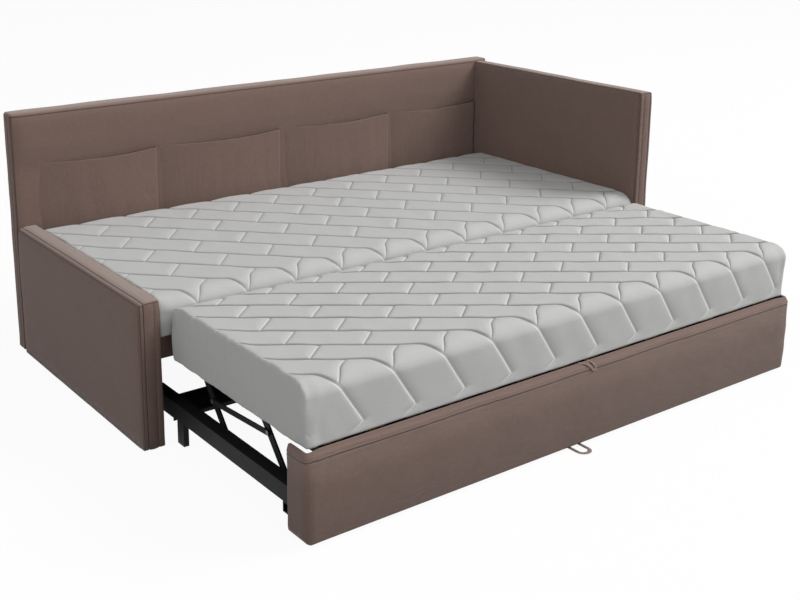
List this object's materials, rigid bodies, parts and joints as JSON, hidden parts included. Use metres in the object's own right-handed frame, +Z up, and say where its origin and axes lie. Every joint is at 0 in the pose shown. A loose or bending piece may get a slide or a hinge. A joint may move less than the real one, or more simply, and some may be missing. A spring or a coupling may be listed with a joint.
{
  "type": "upholstered bed",
  "caption": "Upholstered day bed with a low arm, a tall end panel and a padded back, and a second bed that pulls out and pops up beside it.",
  "frame": {"origin": "on the floor under the middle of the bed, with the second bed out and raised", "axes": "+X along the bed to the tall end panel, +Y from the front to the back, +Z up"},
  "size_m": [2.144, 1.771, 0.856],
  "materials": {
    "upholstery": "flat woven taupe cloth",
    "mattress_fabric": "quilted light grey knit",
    "wood": "raw",
    "black_steel": "satin powder coat",
    "zinc_steel": "zinc plated",
    "black_plastic": "matt",
    "roller_rubber": "matt",
    "strap": "woven tape"
  },
  "bodies": {
    "bed": {"left_arm_frame": "wood", "left_arm_cover": "upholstery", "right_end_frame": "wood", "right_end_cover": "upholstery", "back_frame": "wood", "back_cover": "upholstery", "outer_left_back_pad": "upholstery", "inner_left_back_pad": "upholstery", "inner_right_back_pad": "upholstery", "outer_right_back_pad": "upholstery", "front_rail_board": "wood", "front_rail_cover": "upholstery", "front_ledger": "wood", "rear_ledger": "wood", "centre_beam": "wood", "main_slats": "wood", "main_mattress": "mattress_fabric", "panel_glides": "black_plastic", "corner_brackets": "zinc_steel", "corner_bolts": "zinc_steel"},
    "pull_out": {"left_beam": "black_steel", "right_beam": "black_steel", "front_cross_tube": "black_steel", "rear_cross_member": "black_steel", "left_leg": "black_steel", "right_leg": "black_steel", "leg_feet": "black_plastic", "beam_caps": "black_plastic", "base_brackets": "black_steel", "base_pins": "zinc_steel", "roller_forks": "black_steel", "roller_axles": "zinc_steel", "stop_pads": "black_plastic", "front_panel_board": "wood", "front_panel_cover": "upholstery", "panel_brackets": "zinc_steel", "panel_bolts": "zinc_steel", "floor_loop": "strap", "lift_loop": "strap"},
    "front_arms": {"left_front_arm": "black_steel", "right_front_arm": "black_steel"},
    "rear_arms": {"left_rear_arm": "black_steel", "right_rear_arm": "black_steel"},
    "coupling_bars": {"left_coupling_bar": "black_steel", "right_coupling_bar": "black_steel", "coupling_pins": "zinc_steel"},
    "lift_frame": {"lift_front_rail": "black_steel", "lift_rear_rail": "black_steel", "left_lift_rail": "black_steel", "right_lift_rail": "black_steel", "lift_centre_rail": "black_steel", "lift_slats": "wood", "top_pins": "zinc_steel", "pop_up_mattress": "mattress_fabric"},
    "left_roller": {"left_roller": "roller_rubber"},
    "right_roller": {"right_roller": "roller_rubber"}
  },
  "joints": [
    {"name": "pull_out_roll", "type": "slide", "parent": "bed", "child": "pull_out", "axis": [0, -1, 0], "range_m": [0, 0.08952]},
    {"name": "lift", "type": "hinge", "parent": "pull_out", "child": "front_arms", "pos_m": [0, -0.6375, 0.09], "axis": [-1, 0, 0], "range_deg": [0, 44.5]},
    {"name": "rear_arm_swing", "type": "hinge", "parent": "pull_out", "child": "rear_arms", "pos_m": [0, -0.3375, 0.068], "axis": [-1, 0, 0], "range_deg": [0, 44.55]},
    {"name": "lift_level", "type": "hinge", "parent": "front_arms", "child": "lift_frame", "pos_m": [0, -0.50708, 0.24163], "axis": [1, 0, 0], "range_deg": [0, 44.55]},
    {"name": "coupling_swing", "type": "hinge", "parent": "front_arms", "child": "coupling_bars", "pos_m": [0, -0.54816, 0.19386], "axis": [1, 0, 0], "range_deg": [0, 44.55]},
    {"name": "left_roller_spin", "type": "hinge", "parent": "pull_out", "child": "left_roller", "pos_m": [-0.94, -0.7565, 0.024], "axis": [1, 0, 0], "range_deg": [0, 213.73]},
    {"name": "right_roller_spin", "type": "hinge", "parent": "pull_out", "child": "right_roller", "pos_m": [0.94, -0.7565, 0.024], "axis": [1, 0, 0], "range_deg": [0, 213.73]}
  ],
  "couplings": [
    {"joint": "pull_out_roll", "follows": "lift", "m_per_rad": 0.115},
    {"joint": "rear_arm_swing", "follows": "lift", "ratio": 1},
    {"joint": "lift_level", "follows": "lift", "ratio": 1},
    {"joint": "coupling_swing", "follows": "lift", "ratio": 1},
    {"joint": "left_roller_spin", "follows": "lift", "ratio": 4.7917},
    {"joint": "right_roller_spin", "follows": "lift", "ratio": 4.7917}
  ]
}
